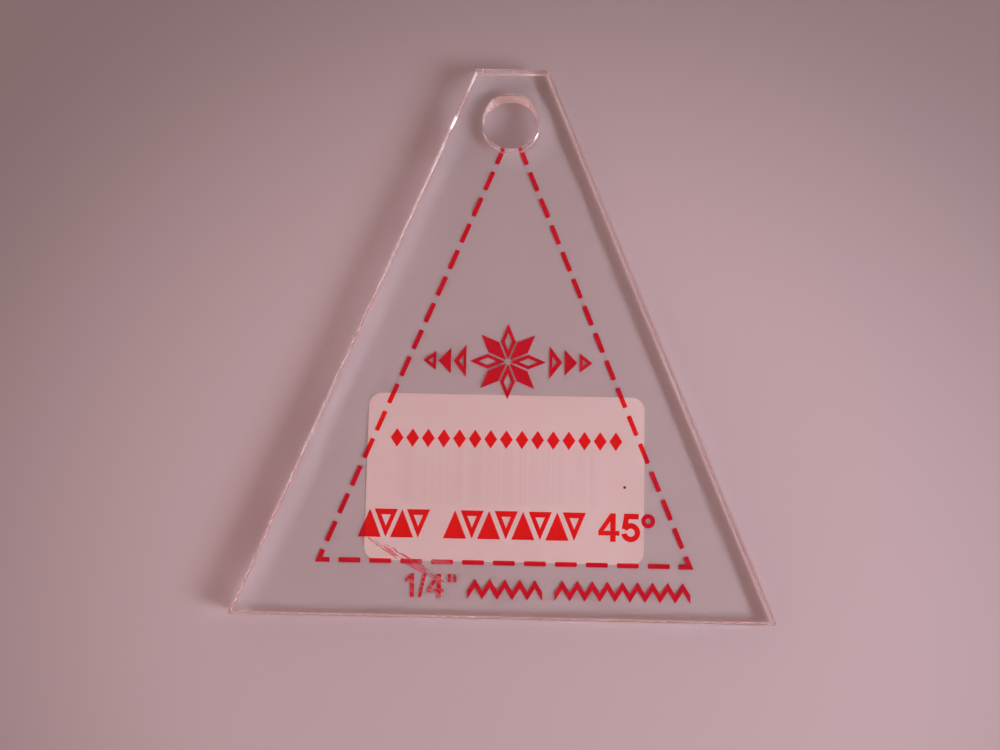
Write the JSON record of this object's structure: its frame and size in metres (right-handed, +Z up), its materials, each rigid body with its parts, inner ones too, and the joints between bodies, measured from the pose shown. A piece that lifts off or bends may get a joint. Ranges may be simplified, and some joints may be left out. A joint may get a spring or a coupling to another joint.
{
  "type": "quilting ruler",
  "caption": "Clear acrylic patchwork template: a triangle with its tip cut off and a hanging hole, a dashed red sewing line printed underneath, and a paper label under the print.",
  "frame": {"origin": "middle of the outline's bounding box, on the surface that the ruler lies on", "axes": "+X along the base to the right, +Y from the base to the cut-off tip, +Z up out of the face that the print is read through"},
  "size_m": [0.061, 0.0636, 0.0031],
  "materials": {
    "clear_acrylic": "clear cast acrylic, polished faces, cut edges",
    "red_ink": "screen printed ink, read through the sheet",
    "label_glue": "clear pressure sensitive adhesive film",
    "label_stock": "uncoated white label paper",
    "black_ink": "thermal print on the label's outer side"
  },
  "bodies": {
    "root": {"acrylic_plate": "clear_acrylic", "seam_line_print": "red_ink", "angle_figures_print": "red_ink", "allowance_figures_print": "red_ink", "quilt_star_print": "red_ink", "diamond_row_print": "red_ink", "triangle_row_print": "red_ink", "zigzag_stitch_print": "red_ink", "label_adhesive": "label_glue", "label_paper": "label_stock", "label_barcode": "black_ink"}
  },
  "joints": []
}
